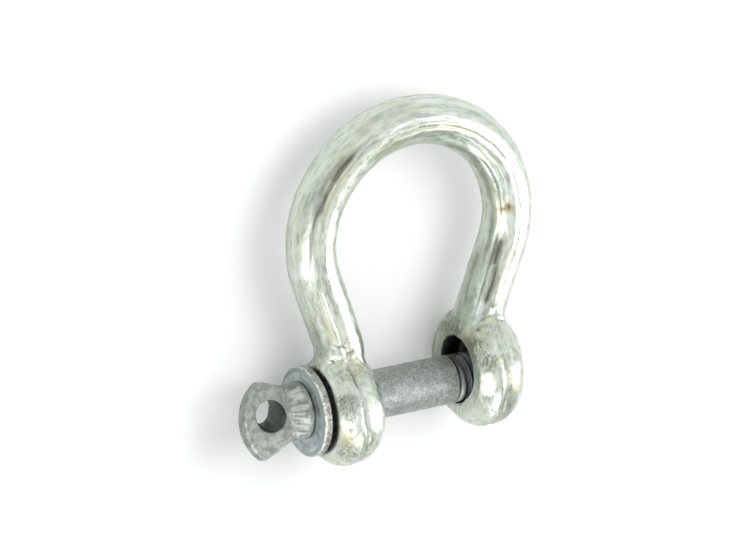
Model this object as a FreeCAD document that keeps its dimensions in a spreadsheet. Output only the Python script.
import FreeCAD, Part
import Sketcher
import math
import os

os.makedirs("parts", exist_ok=True)

# Bow shackle with a screw pin, in millimetres.
#
# Frame: X runs along the pin, from the eye head (-X) to the threaded tip (+X).
# Y runs from the pin towards the crown of the bow.  Z is square to the bow, so
# the shackle lies flat with +Z up.  The origin is on the pin's axis, midway
# between the two ears.
#
# Pieces:
#   bow         forged bar, bent to an omega, with a plain ear and a tapped ear
#   pin_collar  bearing ring between the eye head and the plain ear
#   screw_pin   flattened eye head, neck, plain shank, M12 x 1.75 right-hand thread

doc = FreeCAD.newDocument("bow_shackle")

# ---------------------------------------------------------------- dimensions
DIMENSIONS = [
    # the bent bar
    ("bar_diameter", 12.0),
    ("crown_radius", 27.0),          # bar centreline, round part of the bow
    ("crown_centre_height", 41.25),  # centre of that arc above the pin axis
    ("leg_angle", 19.6),             # slope of the straight legs, degrees
    ("leg_length", 17.8),            # straight part of each leg
    ("neck_radius", 7.0),            # reverse bend above each ear
    # the ears: near is on the -X side, far on the +X side
    ("jaw_half_width", 13.0),        # pin middle to the inner face of an ear
    ("ear_thickness", 12.6),
    ("near_ear_radius", 14.0),       # at the parting line
    ("near_ear_face_radius", 10.6),  # flat face
    ("near_ear_rise", -1.1),         # forged eye sits off the drilled axis, along Y
    ("near_ear_side", 1.2),          # and along Z
    ("far_ear_radius", 15.0),
    ("far_ear_face_radius", 11.3),
    ("far_ear_rise", 2.4),
    ("far_ear_side", 0.5),
    ("ear_side_radius", 7.8),        # convex sides between face and parting line
    # the holes in the ears
    ("plain_hole_diameter", 13.0),
    ("plain_hole_chamfer", 0.6),
    ("recess_radius", 7.9),          # punched dimple round the mouth of the tapped hole
    ("recess_depth", 4.6),
    ("recess_taper", 9.0),           # degrees
    ("recess_rise", 3.0),
    ("recess_side", 1.0),
    ("recess_floor_depth", 1.2),     # sloping floor: its depth below the wall
    ("recess_floor_width", 2.6),     # and its width
    ("relief_radius", 6.25),         # plain mouth of the tapped hole
    ("relief_end", 15.5),
    ("relief_cone", 0.8),
    ("tapped_edge_depth", 1.2),      # broken outer edge of the tapped hole
    ("tapped_edge_flare", 0.7),      # past the thread root, at the cut's wide end
    # how far cuts run past the faces of the ears
    ("bore_overrun", 2.0),
    ("mouth_overrun", 1.0),
    ("edge_overrun", 0.5),
    # the thread
    ("thread_pitch", 1.75),
    ("flank_angle", 30.0),
    ("tapped_bore_diameter", 10.3),
    ("tapped_root_diameter", 12.2),
    ("tapped_root_half_width", 0.113),
    ("tapped_mouth_half_width", 0.6616),
    ("pin_thread_diameter", 11.7),
    ("pin_root_diameter", 9.7),
    ("pin_root_half_width", 0.16),
    ("pin_mouth_half_width", 0.737),
    ("thread_start", 13.6),
    ("thread_lead", 0.2),            # the pin's groove starts this far before the thread
    ("thread_overcut", 0.3),         # groove mouth carried past the surface it cuts
    ("tapped_lead_turns", 1.5),      # tapped groove starts this many pitches earlier
    ("tapped_run_turns", 3.2),       # pitches added to each groove's length
    ("pin_run_turns", 1.0),
    # the pin
    ("shank_diameter", 12.0),
    ("shank_end", 11.2),
    ("ring_diameter", 11.6),         # short plain length between shank and thread
    ("ring_entry_length", 0.2),      # cones at its two ends
    ("ring_exit_length", 0.1),
    ("pin_tip", 26.8),
    ("tip_chamfer", 1.0),
    ("neck_seat", 29.55),            # neck shoulder, distance on the -X side
    ("neck_diameter", 14.3),
    ("neck_stub_length", 1.6),       # turned stub that the forged neck grows over
    ("neck_stub_drop", 0.5),         # less radius at its -X end
    ("neck_lip_length", 0.4),        # bevel beside the seat
    ("neck_lip_drop", 0.2),
    ("neck_overlap", 0.8),           # round end of the forged neck, beyond the seat
    ("neck_round_inset", 0.17),
    ("neck_corner_cut", 0.78),       # bevelled corners of the neck's flat end
    ("neck_corner_slack", 0.05),
    ("head_angle", -19.5),           # eye plate turned about the pin, degrees
    ("head_blank_thickness", 9.6),
    ("head_peak_half", 3.6),         # the faces are domed: half thickness at the middle
    ("head_dome_x", 34.5),
    ("head_dome_radius", 38.0),
    ("dome_cut_reach", 14.0),        # radius of the cut that shapes a dome
    ("dome_cut_height", 8.0),        # far side of that cut, from the plate's middle
    ("head_neck_end", 34.7),
    ("head_neck_half_width", 6.75),
    ("head_neck_inset", 0.12),
    ("head_top_corner_x", 39.9),
    ("head_top_corner_y", 8.7),
    ("head_low_corner_x", 41.9),
    ("head_low_corner_y", 10.3),
    ("head_end", 45.9),              # point that the rounded end passes through
    ("head_end_rise", -0.6),
    ("head_corner_radius", 1.4),
    ("head_edge_chamfer", 0.55),
    ("eye_hole_x", 39.15),
    ("eye_hole_rise", 0.95),
    ("eye_hole_angle", -4.0),        # punched a little off square to the plate
    ("eye_hole_diameter", 7.9),
    ("eye_hole_chamfer", 0.3),
    ("eye_cut_length", 30.0),
    # the collar
    ("collar_diameter", 22.0),
    ("collar_face", 29.5),
    ("collar_back", 26.75),
    ("collar_bore_diameter", 12.16),
    ("collar_chamfer_axial", 0.63),
    ("collar_chamfer_radial", 1.4),
    ("collar_back_chamfer", 0.25),
]
SIZE = dict(DIMENSIONS)
dims = doc.addObject("Spreadsheet::Sheet", "dims")
for row, (alias, number) in enumerate(DIMENSIONS, start=1):
    dims.set("A%d" % row, alias)
    dims.set("B%d" % row, repr(number))
    dims.setAlias("B%d" % row, alias)
doc.recompute()

# a second sheet works out derived numbers, so the driving sheet stays untouched
derived = doc.addObject("Spreadsheet::Sheet", "derived")
known = {}

X_AXIS = FreeCAD.Vector(1, 0, 0)
Z_AXIS = FreeCAD.Vector(0, 0, 1)
GROWING = ("AdditivePipe", "AdditiveLoft", "Revolution", "Pad")
LEAST_CHANGE = 0.2  # mm3 that every feature must add or remove


def value_of(expression):
    """The number an expression of sheet cells gives now."""
    if expression not in known:
        cell = "A%d" % (len(known) + 1)
        derived.set(cell, "=" + expression)
        derived.recompute()
        number = derived.get(cell)
        known[expression] = float(getattr(number, "Value", number))
    return known[expression]


# ------------------------------------------------------------ sketch helpers
def vector(point):
    return FreeCAD.Vector(point[0], point[1], 0)


def new_body(label):
    body = doc.addObject("PartDesign::Body", label)
    body.Label = label
    doc.recompute()
    return body


def new_sketch(body, name, role="XY_Plane", base_y="0", base_z="0", turn=None):
    """Sketch on an origin plane, moved by expressions and turned by (axis, angle alias)."""
    sketch = body.newObject("Sketcher::SketchObject", name)
    support = next(item for item in body.Origin.OriginFeatures if item.Role == role)
    sketch.AttachmentSupport = (support, [""])
    sketch.MapMode = "FlatFace"
    placement = FreeCAD.Placement()
    if turn:
        placement.Rotation = FreeCAD.Rotation(turn[0], SIZE[turn[1]])
    placement.Base = FreeCAD.Vector(0, value_of(base_y), value_of(base_z))
    sketch.AttachmentOffset = placement
    doc.recompute()
    for axis, expression in (("y", base_y), ("z", base_z)):
        if expression != "0":
            sketch.setExpression("AttachmentOffset.Base." + axis, expression)
    if turn:
        sketch.setExpression("AttachmentOffset.Rotation.Angle", "dims.%s * 1deg" % turn[1])
    doc.recompute()
    return sketch


def near_end(sketch, edge, point):
    """Which end of an edge, 1 or 2, lies nearer to a point."""
    start, end = sketch.getPoint(edge, 1), sketch.getPoint(edge, 2)
    target = vector(point)
    return 1 if start.distanceToPoint(target) < end.distanceToPoint(target) else 2


def drive(sketch, expression, kind, *where):
    """Add a dimension held by an expression."""
    index = sketch.addConstraint(Sketcher.Constraint(kind, *where, value_of(expression)))
    sketch.setExpression("Constraints[%d]" % index, expression)


def locate(sketch, edge, end, axis, expression):
    """Hold a point at a distance from the sketch origin along one axis."""
    kind = "DistanceX" if axis == "x" else "DistanceY"
    number = value_of(expression)
    if abs(number) < 1e-9:
        across = -2 if axis == "x" else -1
        sketch.addConstraint(Sketcher.Constraint("PointOnObject", edge, end, across))
    elif number > 0:
        drive(sketch, expression, kind, -1, 1, edge, end)
    else:
        drive(sketch, "-(%s)" % expression, kind, edge, end, -1, 1)


def draw(sketch, points, middles, closed=True, joint="Coincident"):
    """Joined edges through points; edge i is an arc where middles has a point for it."""
    total = len(points)
    count = total if closed else total - 1
    edges = []
    for i in range(count):
        start, end = vector(points[i]), vector(points[(i + 1) % total])
        if i in middles:
            curve = Part.Arc(start, vector(middles[i]), end)
        else:
            curve = Part.LineSegment(start, end)
        edges.append(sketch.addGeometry(curve, False))
    for i in range(count if closed else count - 1):
        first, second, corner = edges[i], edges[(i + 1) % count], points[(i + 1) % total]
        sketch.addConstraint(Sketcher.Constraint(joint, first, near_end(sketch, first, corner),
                                                 second, near_end(sketch, second, corner)))
    return edges


def numbers_of(points):
    return [(value_of(x), value_of(y)) for x, y in points]


def polygon(sketch, points, arcs=None):
    """Closed outline through points given as (x expression, y expression).

    arcs maps an edge number to (middle point, radius expression); a radius of
    None keeps the one that the middle point gives.
    """
    arcs = arcs or {}
    numbers = numbers_of(points)
    edges = draw(sketch, numbers, {i: middle for i, (middle, radius) in arcs.items()})
    for edge, point, number in zip(edges, points, numbers):
        end = near_end(sketch, edge, number)
        locate(sketch, edge, end, "x", point[0])
        locate(sketch, edge, end, "y", point[1])
    for i, (middle, radius) in arcs.items():
        if radius:
            drive(sketch, radius, "Radius", edges[i])
        else:
            drawn = sketch.Geometry[edges[i]].Radius
            sketch.addConstraint(Sketcher.Constraint("Radius", edges[i], drawn))
    doc.recompute()


def centred_circle(sketch, x, y, radius):
    """Circle with its centre and radius given as expressions."""
    centre = vector((value_of(x), value_of(y)))
    edge = sketch.addGeometry(Part.Circle(centre, Z_AXIS, value_of(radius)), False)
    locate(sketch, edge, 3, "x", x)
    locate(sketch, edge, 3, "y", y)
    drive(sketch, radius, "Radius", edge)
    doc.recompute()


# ----------------------------------------------------------- feature helpers
def add(body, kind, name, **properties):
    """Add a feature; a text value that names a sheet cell drives its property."""
    before = 0.0 if body.Shape.isNull() else body.Shape.Volume
    feature = body.newObject("PartDesign::" + kind, name)
    for key, value in properties.items():
        if isinstance(value, str) and "dims." in value:
            setattr(feature, key, value_of(value))
            feature.setExpression(key, "(%s) * 1 mm" % value)
        else:
            setattr(feature, key, value)
    doc.recompute()
    change = body.Shape.Volume - before
    if (change if kind in GROWING else -change) < LEAST_CHANGE:
        raise RuntimeError("%s changed the volume by %.2f" % (name, change))
    return feature


def turned(body, kind, name, points, arcs=None, profile=None, **place):
    """Revolution or Groove about the pin axis, or about a line parallel to it."""
    sketch = new_sketch(body, profile or name + "_profile", **place)
    polygon(sketch, points, arcs)
    add(body, kind, name, Profile=sketch, ReferenceAxis=(sketch, ["H_Axis"]), Angle=360)


# Both threads count from the start of the pin's groove; the tapped one sits half a
# pitch off it, so the flanks clear.
GROOVE_START = "dims.thread_start - dims.thread_lead"
OVERCUT_WIDTH = "dims.thread_overcut * tan(dims.flank_angle * 1deg)"


def cut_thread(body, name, start, inner, outer, length):
    """Right-hand V groove along +X; inner and outer are (radius, half width)."""
    sketch = new_sketch(body, name + "_profile")
    polygon(sketch, [("%s - (%s)" % (start, inner[1]), inner[0]),
                     ("%s - (%s)" % (start, outer[1]), outer[0]),
                     ("%s + (%s)" % (start, outer[1]), outer[0]),
                     ("%s + (%s)" % (start, inner[1]), inner[0])])
    add(body, "SubtractiveHelix", name, Profile=sketch, ReferenceAxis=(sketch, ["H_Axis"]),
        Mode="pitch-height-angle", Pitch="dims.thread_pitch", Height=length, Angle=0,
        Growth=0, LeftHanded=False, Reversed=False, HasBeenEdited=True)


# ------------------------------------------------------------------- the bow
INNER = "dims.jaw_half_width"
OUTER = "(dims.jaw_half_width + dims.ear_thickness)"
LEG_X = ("dims.crown_radius * cos(dims.leg_angle * 1deg)"
         " - dims.leg_length * sin(dims.leg_angle * 1deg)"
         " - dims.neck_radius * (1 - cos(dims.leg_angle * 1deg))")


def add_bent_bar(bow):
    """Bar swept along a reverse bend, straight leg and round crown, mirrored."""
    slope = math.radians(SIZE["leg_angle"])
    crown_r, crown_y = SIZE["crown_radius"], SIZE["crown_centre_height"]
    neck_r, leg = SIZE["neck_radius"], SIZE["leg_length"]
    leg_x = value_of(LEG_X)
    top = (crown_r * math.cos(slope), crown_y - crown_r * math.sin(slope))
    low = (top[0] - leg * math.sin(slope), top[1] - leg * math.cos(slope))
    neck_y = low[1] - neck_r * math.sin(slope)
    bend = (leg_x + neck_r * (1 - math.cos(slope / 2)), neck_y + neck_r * math.sin(slope / 2))

    right = [top, low, (leg_x, neck_y), (leg_x, 0)]
    left = [(-x, y) for x, y in reversed(right)]
    middles = {1: (-bend[0], bend[1]), 3: (0, crown_y + crown_r), 5: bend}
    path = new_sketch(bow, "bow_centreline")
    edges = draw(path, left + right, middles, closed=False, joint="Tangent")
    left_foot, left_bend, left_leg, crown, right_leg, right_bend, right_foot = edges
    for rule in (("Vertical", left_foot),
                 ("Vertical", right_foot),
                 ("PointOnObject", left_foot, 1, -1),
                 ("PointOnObject", right_foot, 2, -1),
                 ("PointOnObject", crown, 3, -2)):
        path.addConstraint(Sketcher.Constraint(*rule))
    drive(path, "dims.crown_centre_height", "DistanceY", -1, 1, crown, 3)
    drive(path, "dims.crown_radius", "Radius", crown)
    for edge in (left_bend, right_bend):
        drive(path, "dims.neck_radius", "Radius", edge)
    for edge in (left_leg, right_leg):
        drive(path, "dims.leg_length", "Distance", edge)
    drive(path, LEG_X, "DistanceX", left_foot, 1, -1, 1)
    drive(path, LEG_X, "DistanceX", -1, 1, right_foot, 2)
    doc.recompute()

    section = new_sketch(bow, "bar_section", "XZ_Plane")
    centred_circle(section, "-(%s)" % LEG_X, "0", "dims.bar_diameter / 2")
    spine = (path, ["Edge%d" % (i + 1) for i in range(len(edges))])
    add(bow, "AdditivePipe", "bent_bar", Profile=section, Spine=spine, Mode="Frenet")


def bulge_point(start, end, radius):
    """Middle of the arc from start to end that bulges towards +Y."""
    dx, dy = end[0] - start[0], end[1] - start[1]
    chord = math.hypot(dx, dy)
    rise = radius - math.sqrt(radius ** 2 - chord ** 2 / 4)
    if dx < 0:
        dx, dy = -dx, -dy
    return ((start[0] + end[0]) / 2 - rise * dy / chord,
            (start[1] + end[1]) / 2 + rise * dx / chord)


def add_ear(bow, name, side):
    """Forged eye: flat faces, convex sides that meet in a crease at the parting line."""
    inner = "%d * dims.jaw_half_width" % side
    middle = "%d * (dims.jaw_half_width + dims.ear_thickness / 2)" % side
    outer = "%d * (dims.jaw_half_width + dims.ear_thickness)" % side
    face, rim = "dims.%s_face_radius" % name, "dims.%s_radius" % name
    points = [(inner, "0"), (inner, face), (middle, rim), (outer, face), (outer, "0")]
    numbers = numbers_of(points)
    arcs = {}
    for i in (1, 2):
        bulge = bulge_point(numbers[i], numbers[i + 1], SIZE["ear_side_radius"])
        arcs[i] = (bulge, "dims.ear_side_radius")
    turned(bow, "Revolution", name, points, arcs,
           base_y="dims.%s_rise" % name, base_z="dims.%s_side" % name)


def cut_plain_hole(bow):
    """Clearance hole through the near ear, with both mouths broken."""
    radius = "dims.plain_hole_diameter / 2"
    start, end = "-%s - dims.bore_overrun" % OUTER, "-%s + dims.bore_overrun" % INNER
    turned(bow, "Groove", "plain_hole", [(start, "0"), (start, radius), (end, radius), (end, "0")])
    for name, face, into, out in (("plain_hole_outer_edge", "-" + OUTER, "+", "-"),
                                  ("plain_hole_inner_edge", "-" + INNER, "-", "+")):
        wide = "%s %s dims.edge_overrun" % (face, out)
        narrow = "%s %s dims.plain_hole_chamfer" % (face, into)
        turned(bow, "Groove", name, [
            (wide, "0"), (wide, radius + " + dims.plain_hole_chamfer + dims.edge_overrun"),
            (narrow, radius), (narrow, "0")])


def cut_tapped_hole(bow):
    """Hole through the far ear: bore at the thread's crests, mouth, edge, thread."""
    bore = "dims.tapped_bore_diameter / 2"
    root = "dims.tapped_root_diameter / 2"
    start, end = INNER + " - dims.bore_overrun", OUTER + " + dims.bore_overrun"
    turned(bow, "Groove", "tapped_bore", [(start, "0"), (start, bore), (end, bore), (end, "0")])

    start, end = INNER + " - dims.mouth_overrun", "dims.relief_end + dims.relief_cone"
    turned(bow, "Groove", "mouth_relief", [
        (start, "0"), (start, "dims.relief_radius"), ("dims.relief_end", "dims.relief_radius"),
        (end, bore), (end, "0")])

    taper = "tan(dims.recess_taper * 1deg)"
    wall_radius = "dims.recess_radius - dims.recess_depth * " + taper
    wall_end = INNER + " + dims.recess_depth"
    floor = wall_end + " + dims.recess_floor_depth"
    turned(bow, "Groove", "punched_recess", [
        (start, "0"), (start, "dims.recess_radius + dims.mouth_overrun * " + taper),
        (wall_end, wall_radius), (floor, wall_radius + " - dims.recess_floor_width"),
        (floor, "0")], base_y="dims.recess_rise", base_z="dims.recess_side")

    wide, narrow = OUTER + " + dims.edge_overrun", OUTER + " - dims.tapped_edge_depth"
    turned(bow, "Groove", "tapped_outer_edge", [
        (wide, "0"), (wide, root + " + dims.tapped_edge_flare"), (narrow, bore), (narrow, "0")])

    cut_thread(bow, "tapped_thread",
               "(%s - dims.tapped_lead_turns * dims.thread_pitch)" % GROOVE_START,
               (bore + " - dims.thread_overcut", "dims.tapped_mouth_half_width + " + OVERCUT_WIDTH),
               (root, "dims.tapped_root_half_width"),
               OUTER + " - dims.thread_start + dims.tapped_run_turns * dims.thread_pitch")


def build_bow():
    bow = new_body("bow")
    add_bent_bar(bow)
    add_ear(bow, "near_ear", -1)
    add_ear(bow, "far_ear", 1)
    cut_plain_hole(bow)
    cut_tapped_hole(bow)
    return bow


# ------------------------------------------------------------------ the collar
def build_collar():
    collar = new_body("pin_collar")
    bore, rim = "dims.collar_bore_diameter / 2", "dims.collar_diameter / 2"
    turned(collar, "Revolution", "turned_ring", [
        ("-dims.collar_face", bore),
        ("-dims.collar_face", rim + " - dims.collar_chamfer_radial"),
        ("-dims.collar_face + dims.collar_chamfer_axial", rim),
        ("-dims.collar_back - dims.collar_back_chamfer", rim),
        ("-dims.collar_back", rim + " - dims.collar_back_chamfer"),
        ("-dims.collar_back", bore)], profile="ring_profile")
    return collar


# --------------------------------------------------------------- the screw pin
def add_stem(pin):
    """Neck stub, shank and thread blank, then the thread."""
    neck, shank = "dims.neck_diameter / 2", "dims.shank_diameter / 2"
    ring, crest = "dims.ring_diameter / 2", "dims.pin_thread_diameter / 2"
    turned(pin, "Revolution", "turned_stem", [
        ("-dims.neck_seat - dims.neck_stub_length", "0"),
        ("-dims.neck_seat - dims.neck_stub_length", neck + " - dims.neck_stub_drop"),
        ("-dims.neck_seat - dims.neck_lip_length", neck),
        ("-dims.neck_seat", neck + " - dims.neck_lip_drop"),
        ("-dims.neck_seat", shank),
        ("dims.shank_end", shank),
        ("dims.shank_end + dims.ring_entry_length", ring),
        ("dims.thread_start - dims.ring_exit_length", ring),
        ("dims.thread_start", crest),
        ("dims.pin_tip - dims.tip_chamfer", crest),
        ("dims.pin_tip", crest + " - dims.tip_chamfer"),
        ("dims.pin_tip", "0")], profile="stem_profile")
    cut_thread(pin, "pin_thread", "(%s)" % GROOVE_START,
               ("dims.pin_root_diameter / 2", "dims.pin_root_half_width"),
               (crest + " + dims.thread_overcut", "dims.pin_mouth_half_width + " + OVERCUT_WIDTH),
               "dims.pin_tip - dims.thread_start + dims.pin_run_turns * dims.thread_pitch")


def dome_height(x, y):
    """Height of the plate's domed face above its middle plane."""
    radius = SIZE["head_dome_radius"]
    drop_squared = (x + SIZE["head_dome_x"]) ** 2 + y * y
    return math.sqrt(radius ** 2 - drop_squared) - (radius - SIZE["head_peak_half"])


def dome_expression(from_peak, y):
    """The same height as an expression, from the distance to the peak along X."""
    return ("(sqrt(pow(dims.head_dome_radius; 2) - pow(%s; 2) - pow(%s; 2))"
            " - (dims.head_dome_radius - dims.head_peak_half))") % (from_peak, y)


def add_eye_plate(pin):
    """Plate turned about the pin, both faces hammered to a dome thin at the rim."""
    turn = (X_AXIS, "head_angle")
    outline = new_sketch(pin, "eye_plate_outline", turn=turn)
    end_middle = (-SIZE["head_end"], SIZE["head_end_rise"])
    polygon(outline, [("-dims.head_neck_end", "dims.head_neck_half_width"),
                      ("-dims.head_top_corner_x", "dims.head_top_corner_y"),
                      ("-dims.head_low_corner_x", "-dims.head_low_corner_y"),
                      ("-dims.head_neck_end", "-dims.head_neck_half_width")],
            {1: (end_middle, None)})
    add(pin, "Pad", "eye_plate", Profile=outline, Length="dims.head_blank_thickness",
        Midplane=True)

    peak_x, rim_x = "-dims.head_dome_x", "-dims.head_dome_x - dims.dome_cut_reach"
    half_way_x = -SIZE["head_dome_x"] - SIZE["dome_cut_reach"] / 2
    for name, side in (("front_dome", 1), ("back_dome", -1)):
        sketch = new_sketch(pin, name + "_profile", "XZ_Plane", turn=turn)
        rim_height = "%d * %s" % (side, dome_expression("dims.dome_cut_reach", "0"))
        far_height = "%d * dims.dome_cut_height" % side
        half_way = (half_way_x, side * dome_height(half_way_x, 0))
        polygon(sketch, [(peak_x, "%d * dims.head_peak_half" % side), (rim_x, rim_height),
                         (rim_x, far_height), (peak_x, far_height)],
                {0: (half_way, "dims.head_dome_radius")})
        # Edge4 is the upright through the peak
        dome = add(pin, "Groove", name, Profile=sketch, ReferenceAxis=(sketch, ["Edge4"]),
                   Angle=180, Midplane=True)
    return dome


def edge_names(shape, wanted):
    return ["Edge%d" % (i + 1) for i, edge in enumerate(shape.Edges)
            if not edge.Degenerated and wanted(edge)]


def samples(edge):
    first, last = edge.FirstParameter, edge.LastParameter
    return [edge.valueAt(first + (last - first) * k / 6) for k in range(7)]


ON_SURFACE = 0.02     # distance within which a sample counts as on a dome or hole
CORNER_MARGIN = 2.0   # plate corners lie this far beyond the neck end
BORDER_MARGIN = 0.3   # border edges stay this far beyond it
BORDER_LENGTH = 0.6   # and are longer than this
BORDER_SPREAD = 0.05  # and spread more than this along X


def soften_plate(pin, plate):
    """Round the plate's corners, then chamfer its border."""
    turn = FreeCAD.Rotation(X_AXIS, SIZE["head_angle"])
    plate_normal = turn.multVec(Z_AXIS)
    neck_x = -SIZE["head_neck_end"]

    def in_plate(point):
        return turn.inverted().multVec(point)

    def is_corner(edge):
        if not isinstance(edge.Curve, Part.Line):
            return False
        along = abs(edge.tangentAt(edge.FirstParameter).dot(plate_normal))
        return abs(along - 1) < 1e-6 and in_plate(edge.CenterOfMass).x < neck_x - CORNER_MARGIN

    def on_dome(point):
        local = in_plate(point)
        if (local.x + SIZE["head_dome_x"]) ** 2 + local.y ** 2 > SIZE["head_dome_radius"] ** 2:
            return False
        return abs(abs(local.z) - dome_height(local.x, local.y)) < ON_SURFACE

    def is_border(edge):
        points = samples(edge)
        low_x, high_x = min(p.x for p in points), max(p.x for p in points)
        return (all(on_dome(p) for p in points) and edge.Length > BORDER_LENGTH
                and low_x < neck_x - BORDER_MARGIN and high_x - low_x > BORDER_SPREAD)

    rounded = add(pin, "Fillet", "plate_corners",
                  Base=(plate, edge_names(pin.Shape, is_corner)), Radius="dims.head_corner_radius")
    add(pin, "Chamfer", "plate_border",
        Base=(rounded, edge_names(pin.Shape, is_border)), Size="dims.head_edge_chamfer")


def add_neck(pin):
    """A flat section at the plate grows into a round one at the collar."""
    turn = (Z_AXIS, "head_angle")
    wide = "(dims.head_neck_half_width - dims.head_neck_inset)"
    shoulder = "(%s - dims.neck_corner_cut)" % wide
    height = dome_expression("(dims.head_dome_x - dims.head_neck_end)", shoulder)
    high = "(%s - dims.head_neck_inset)" % height
    side = "(%s - dims.neck_corner_cut + dims.neck_corner_slack)" % high
    corner = [(wide, side), (shoulder, high)]
    outline = []
    for sign_x, sign_y in ((1, 1), (-1, 1), (-1, -1), (1, -1)):
        ordered = corner if sign_x == sign_y else corner[::-1]
        outline += [("%d * %s" % (sign_x, x), "%d * %s" % (sign_y, y)) for x, y in ordered]
    crown_y = dome_height(-SIZE["head_neck_end"], 0) - SIZE["head_neck_inset"]
    flat_end = new_sketch(pin, "neck_flat_end", "YZ_Plane", base_z="-dims.head_neck_end",
                          turn=turn)
    polygon(flat_end, outline, {1: ((0, crown_y), None), 5: ((0, -crown_y), None)})

    # the circle is split at the flat section's corner angles, so the edges pair up
    round_end = new_sketch(pin, "neck_round_end", "YZ_Plane",
                           base_z="-dims.neck_seat - dims.neck_overlap", turn=turn)
    radius = "dims.neck_diameter / 2 - dims.neck_round_inset"
    angles = [math.atan2(y, x) % (2 * math.pi) for x, y in numbers_of(outline)]

    def on_circle(angle):
        return (value_of(radius) * math.cos(angle), value_of(radius) * math.sin(angle))

    following = angles[1:] + [angles[0] + 2 * math.pi]
    middles = {i: on_circle((angles[i] + following[i]) / 2) for i in range(len(angles))}
    arcs = draw(round_end, [on_circle(angle) for angle in angles], middles)
    for arc in arcs:
        round_end.addConstraint(Sketcher.Constraint("Coincident", arc, 3, -1, 1))
    drive(round_end, radius, "Radius", arcs[0])
    doc.recompute()
    add(pin, "AdditiveLoft", "forged_neck", Profile=flat_end, Sections=[round_end], Ruled=False)


def cut_eye_hole(pin):
    """Hole through the plate, with its mouths broken."""
    sketch = new_sketch(pin, "eye_hole_outline", turn=(X_AXIS, "eye_hole_angle"))
    centred_circle(sketch, "-dims.eye_hole_x", "dims.eye_hole_rise", "dims.eye_hole_diameter / 2")
    hole = add(pin, "Pocket", "eye_hole", Profile=sketch, Type="Length",
               Length="dims.eye_cut_length", Midplane=True)
    turn = FreeCAD.Rotation(X_AXIS, SIZE["eye_hole_angle"])

    def on_wall(point):
        local = turn.inverted().multVec(point)
        distance = math.hypot(local.x + SIZE["eye_hole_x"], local.y - SIZE["eye_hole_rise"])
        return abs(distance - SIZE["eye_hole_diameter"] / 2) < ON_SURFACE

    def is_mouth(edge):
        return not isinstance(edge.Curve, Part.Line) and all(on_wall(p) for p in samples(edge))

    add(pin, "Chamfer", "eye_hole_edges",
        Base=(hole, edge_names(pin.Shape, is_mouth)), Size="dims.eye_hole_chamfer")


def build_pin():
    pin = new_body("screw_pin")
    add_stem(pin)
    plate = add_eye_plate(pin)
    soften_plate(pin, plate)
    add_neck(pin)
    cut_eye_hole(pin)
    return pin


# ------------------------------------------------------------------ check, write
bodies = [build_bow(), build_collar(), build_pin()]
doc.recompute()
for item in doc.Objects:
    if "Invalid" in item.State or "Error" in item.State:
        raise RuntimeError("%s failed: %s" % (item.Label, item.State))
for body in bodies:
    shape = body.Shape
    if shape.isNull() or not shape.isValid() or len(shape.Solids) != 1:
        raise RuntimeError("%s is not one valid solid" % body.Label)
for body in bodies:
    body.Shape.exportStep("parts/%s.step" % body.Label)
